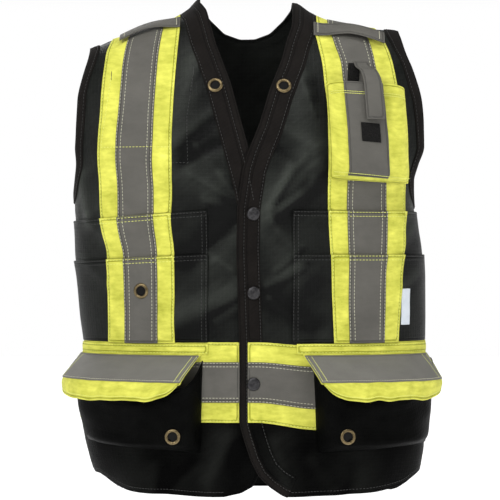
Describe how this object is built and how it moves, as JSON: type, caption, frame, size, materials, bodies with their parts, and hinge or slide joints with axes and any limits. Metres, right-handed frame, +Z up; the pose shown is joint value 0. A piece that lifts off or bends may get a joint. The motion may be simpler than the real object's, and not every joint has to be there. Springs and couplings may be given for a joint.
{
  "type": "utility work vest",
  "caption": "Sleeveless black utility work vest with lime and silver reflective trim, snap front, patch pockets, a chest radio pocket and flapped lower pouches.",
  "frame": {"origin": "the place where the vest rests on the wearer's shoulders, midway between the two shoulders and in the plane of the side seams", "axes": "+Z up, -Y out of the front, +X towards the wearer's left, which is the right of the picture"},
  "size_m": [0.4965, 0.2585, 0.6472],
  "materials": {
    "black_cloth": "matte ripstop weave",
    "binding": "matte twill",
    "lime_cloth": "fluorescent knit, matte",
    "silver_tape": "retroreflective tape, satin",
    "eyelet_brass": "antique brass, worn",
    "snap_metal": "dark gunmetal, satin",
    "label_cloth": "matte woven label, blank",
    "hook_tape": "hook tape, matte"
  },
  "bodies": {
    "root": {"back_panel": "black_cloth", "front_panel_right": "black_cloth", "front_panel_left": "black_cloth", "neck_band_right": "binding", "neck_band_left": "binding", "neck_band_back": "binding", "armhole_binding_right_front": "binding", "armhole_binding_right_back": "binding", "armhole_binding_left_front": "binding", "armhole_binding_left_back": "binding", "chest_lime_right": "lime_cloth", "chest_tape_right": "silver_tape", "back_lime_right": "lime_cloth", "back_tape_right": "silver_tape", "upper_pocket_right": "black_cloth", "upper_pocket_lime_right": "lime_cloth", "upper_pocket_tape_right": "silver_tape", "middle_pocket_right": "black_cloth", "middle_pocket_lime_right": "lime_cloth", "middle_pocket_tape_right": "silver_tape", "chest_lime_left": "lime_cloth", "chest_tape_left": "silver_tape", "back_lime_left": "lime_cloth", "back_tape_left": "silver_tape", "upper_pocket_left": "black_cloth", "upper_pocket_lime_left": "lime_cloth", "upper_pocket_tape_left": "silver_tape", "middle_pocket_left": "black_cloth", "middle_pocket_lime_left": "lime_cloth", "middle_pocket_tape_left": "silver_tape", "band_lime_right": "lime_cloth", "band_tape_right": "silver_tape", "band_lime_left": "lime_cloth", "band_tape_left": "silver_tape", "band_lime_back": "lime_cloth", "band_tape_back": "silver_tape", "radio_pocket": "lime_cloth", "radio_pocket_tape": "silver_tape", "radio_strap": "silver_tape", "hook_patch": "hook_tape", "pouch_right": "black_cloth", "pouch_left": "black_cloth", "welt_right": "lime_cloth", "welt_left": "lime_cloth", "flap_right": "lime_cloth", "flap_tape_right": "silver_tape", "flap_left": "lime_cloth", "flap_tape_left": "silver_tape", "shoulder_strap_right": "silver_tape", "shoulder_strap_left": "silver_tape", "snap_upper": "snap_metal", "snap_middle": "snap_metal", "snap_lower": "snap_metal", "eyelet_neck_right": "eyelet_brass", "eyelet_neck_left": "eyelet_brass", "eyelet_middle_pocket": "eyelet_brass", "eyelet_pouch_right": "eyelet_brass", "eyelet_pouch_left": "eyelet_brass", "side_label": "label_cloth"}
  },
  "joints": []
}
